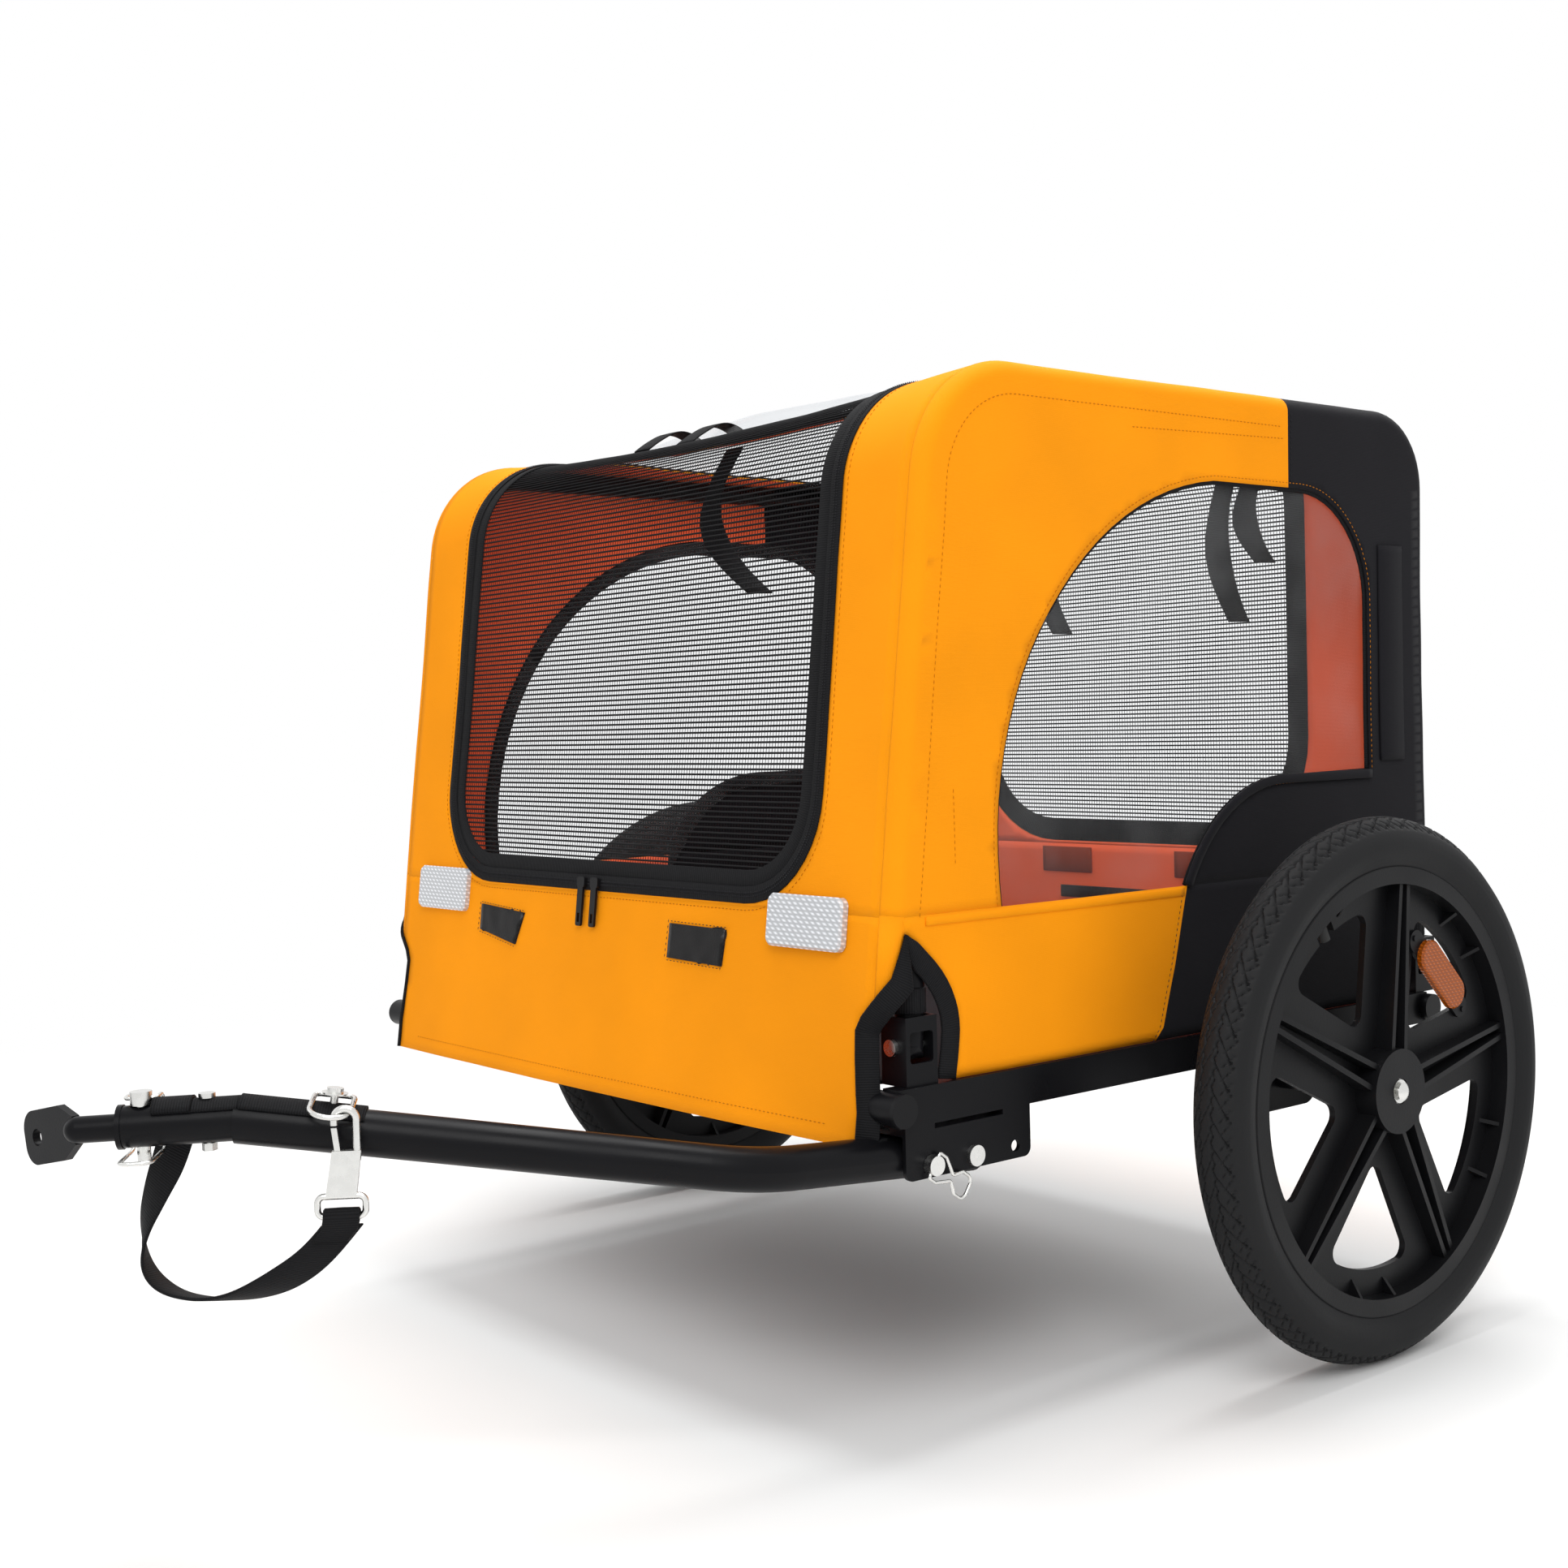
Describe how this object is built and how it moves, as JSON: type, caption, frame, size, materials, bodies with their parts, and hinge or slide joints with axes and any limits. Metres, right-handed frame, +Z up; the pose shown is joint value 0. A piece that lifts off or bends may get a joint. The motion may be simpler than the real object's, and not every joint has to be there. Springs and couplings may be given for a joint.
{
  "type": "pet bike trailer",
  "caption": "Pet bike trailer with a boxy fabric cabin, mesh door and clear windows on a folding tube frame, moulded wheels and an offset hitch drawbar.",
  "frame": {"origin": "on the ground, in the middle of the box round the trailer without its hanging safety strap", "axes": "+Z up, -Y to the front where the hitch is, +X to the trailer's left, the side of the drawbar"},
  "size_m": [0.8638, 1.0684, 0.7218],
  "materials": {
    "tyre_rubber": "matt black rubber with a block tread",
    "butyl_rubber": "smooth black rubber",
    "wheel_plastic": "moulded black plastic, fine satin grain",
    "black_plastic": "moulded black plastic",
    "black_steel": "semi-gloss black powder coat",
    "zinc_steel": "bright zinc plate",
    "amber_lens": "clear amber prisms",
    "white_reflector": "clear prisms over silver",
    "orange_cloth": "coated plain weave",
    "black_cloth": "coated plain weave",
    "black_webbing": "ribbed webbing",
    "black_mesh": "open net",
    "clear_film": "clear flexible film"
  },
  "bodies": {
    "frame": {"left_axle": "zinc_steel", "right_axle": "zinc_steel", "cross_tubes": "black_steel", "side_rails": "black_steel", "tube_end_plugs": "black_plastic", "axle_brackets": "black_steel", "hoop_brackets": "black_steel", "hoop_pivot_bolts": "zinc_steel", "drawbar_bracket": "black_steel", "drawbar_pivot_bolt": "zinc_steel", "drawbar_lock_pin": "zinc_steel", "left_side_panel": "orange_cloth", "right_side_panel": "orange_cloth", "side_windows": "clear_film", "front_panel": "orange_cloth", "door_zip": "black_webbing", "roof_panel": "orange_cloth", "roof_window": "clear_film", "rear_panel": "orange_cloth", "rear_mesh_door": "black_mesh", "floor_panel": "black_cloth", "front_reflectors": "white_reflector", "hook_loop_tabs": "black_webbing", "tie_straps": "black_webbing"},
    "left_wheel": {"left_tyre": "tyre_rubber", "left_inner_tube": "butyl_rubber", "left_rim": "wheel_plastic", "left_hub_cap": "wheel_plastic", "left_hub_bearings": "zinc_steel", "left_reflector_base": "wheel_plastic", "left_reflector_lens": "amber_lens"},
    "right_wheel": {"right_tyre": "tyre_rubber", "right_inner_tube": "butyl_rubber", "right_rim": "wheel_plastic", "right_hub_cap": "wheel_plastic", "right_hub_bearings": "zinc_steel", "right_reflector_base": "wheel_plastic", "right_reflector_lens": "amber_lens"},
    "left_axle_button": {"left_axle_button": "zinc_steel"},
    "right_axle_button": {"right_axle_button": "zinc_steel"},
    "left_hoop": {"left_hoop": "black_steel"},
    "right_hoop": {"right_hoop": "black_steel"},
    "drawbar": {"drawbar_tube": "black_steel", "drawbar_sleeve": "black_steel", "hitch_coupler": "black_steel", "hitch_pin": "zinc_steel", "drawbar_screws": "zinc_steel", "d_ring": "zinc_steel", "strap_webbing": "black_webbing", "safety_strap": "black_webbing", "snap_hook": "zinc_steel"},
    "snap_gate": {"snap_gate": "zinc_steel"},
    "hitch_clip": {"hitch_pin_clip": "zinc_steel"},
    "lock_pin_bail": {"lock_pin_bail": "zinc_steel"},
    "front_door": {"front_mesh_door": "black_mesh"},
    "zip_slider_left": {"zip_slider_left": "black_plastic"},
    "zip_slider_right": {"zip_slider_right": "black_plastic"}
  },
  "joints": [
    {"name": "left_wheel_spin", "type": "hinge", "parent": "frame", "child": "left_wheel", "pos_m": [0.407, 0.31729, 0.2], "axis": [1, 0, 0], "continuous": true},
    {"name": "right_wheel_spin", "type": "hinge", "parent": "frame", "child": "right_wheel", "pos_m": [-0.407, 0.31729, 0.2], "axis": [1, 0, 0], "continuous": true},
    {"name": "left_axle_button_press", "type": "slide", "parent": "frame", "child": "left_axle_button", "axis": [-1, 0, 0], "range_m": [0, 0.0025], "stiffness_N_per_m": 1200},
    {"name": "right_axle_button_press", "type": "slide", "parent": "frame", "child": "right_axle_button", "axis": [1, 0, 0], "range_m": [0, 0.0025], "stiffness_N_per_m": 1200},
    {"name": "left_hoop_fold", "type": "hinge", "parent": "frame", "child": "left_hoop", "pos_m": [0.3095, 0.51529, 0.268], "axis": [0, -1, 0], "range_deg": [0, 90], "deforming": ["tie_straps"]},
    {"name": "right_hoop_fold", "type": "hinge", "parent": "frame", "child": "right_hoop", "pos_m": [-0.3095, 0.51529, 0.268], "axis": [0, 1, 0], "range_deg": [0, 61.2], "deforming": ["tie_straps"]},
    {"name": "drawbar_fold", "type": "hinge", "parent": "frame", "child": "drawbar", "pos_m": [0.3075, -0.01871, 0.1916], "axis": [1, 0, 0], "range_deg": [0, 180], "deforming": ["safety_strap"]},
    {"name": "snap_gate_open", "type": "hinge", "parent": "drawbar", "child": "snap_gate", "pos_m": [0.18792, -0.40616, 0.2282], "axis": [-0.8283, 0.5603, 0], "range_deg": [0, 20], "stiffness_Nm_per_rad": 0.05},
    {"name": "hitch_clip_swing", "type": "hinge", "parent": "drawbar", "child": "hitch_clip", "pos_m": [0.10307, -0.49067, 0.26736], "axis": [0.5591, 0.8289, 0.0209], "range_deg": [0, 120]},
    {"name": "lock_bail_swing", "type": "hinge", "parent": "frame", "child": "lock_pin_bail", "pos_m": [0.32855, -0.05821, 0.1916], "axis": [0, -0.5736, -0.8192], "range_deg": [0, 100]},
    {"name": "front_door_lift", "type": "hinge", "parent": "frame", "child": "front_door", "pos_m": [0, 0.05437, 0.7204], "axis": [1, 0, 0], "range_deg": [-110, 0]},
    {"name": "zip_slider_left_run", "type": "slide", "parent": "frame", "child": "zip_slider_left", "axis": [1, 0, 0], "range_m": [0, 0.12]},
    {"name": "zip_slider_right_run", "type": "slide", "parent": "frame", "child": "zip_slider_right", "axis": [-1, 0, 0], "range_m": [0, 0.12]}
  ],
  "couplings": [
    {"joint": "right_hoop_fold", "follows": "left_hoop_fold", "ratio": 0.68}
  ]
}
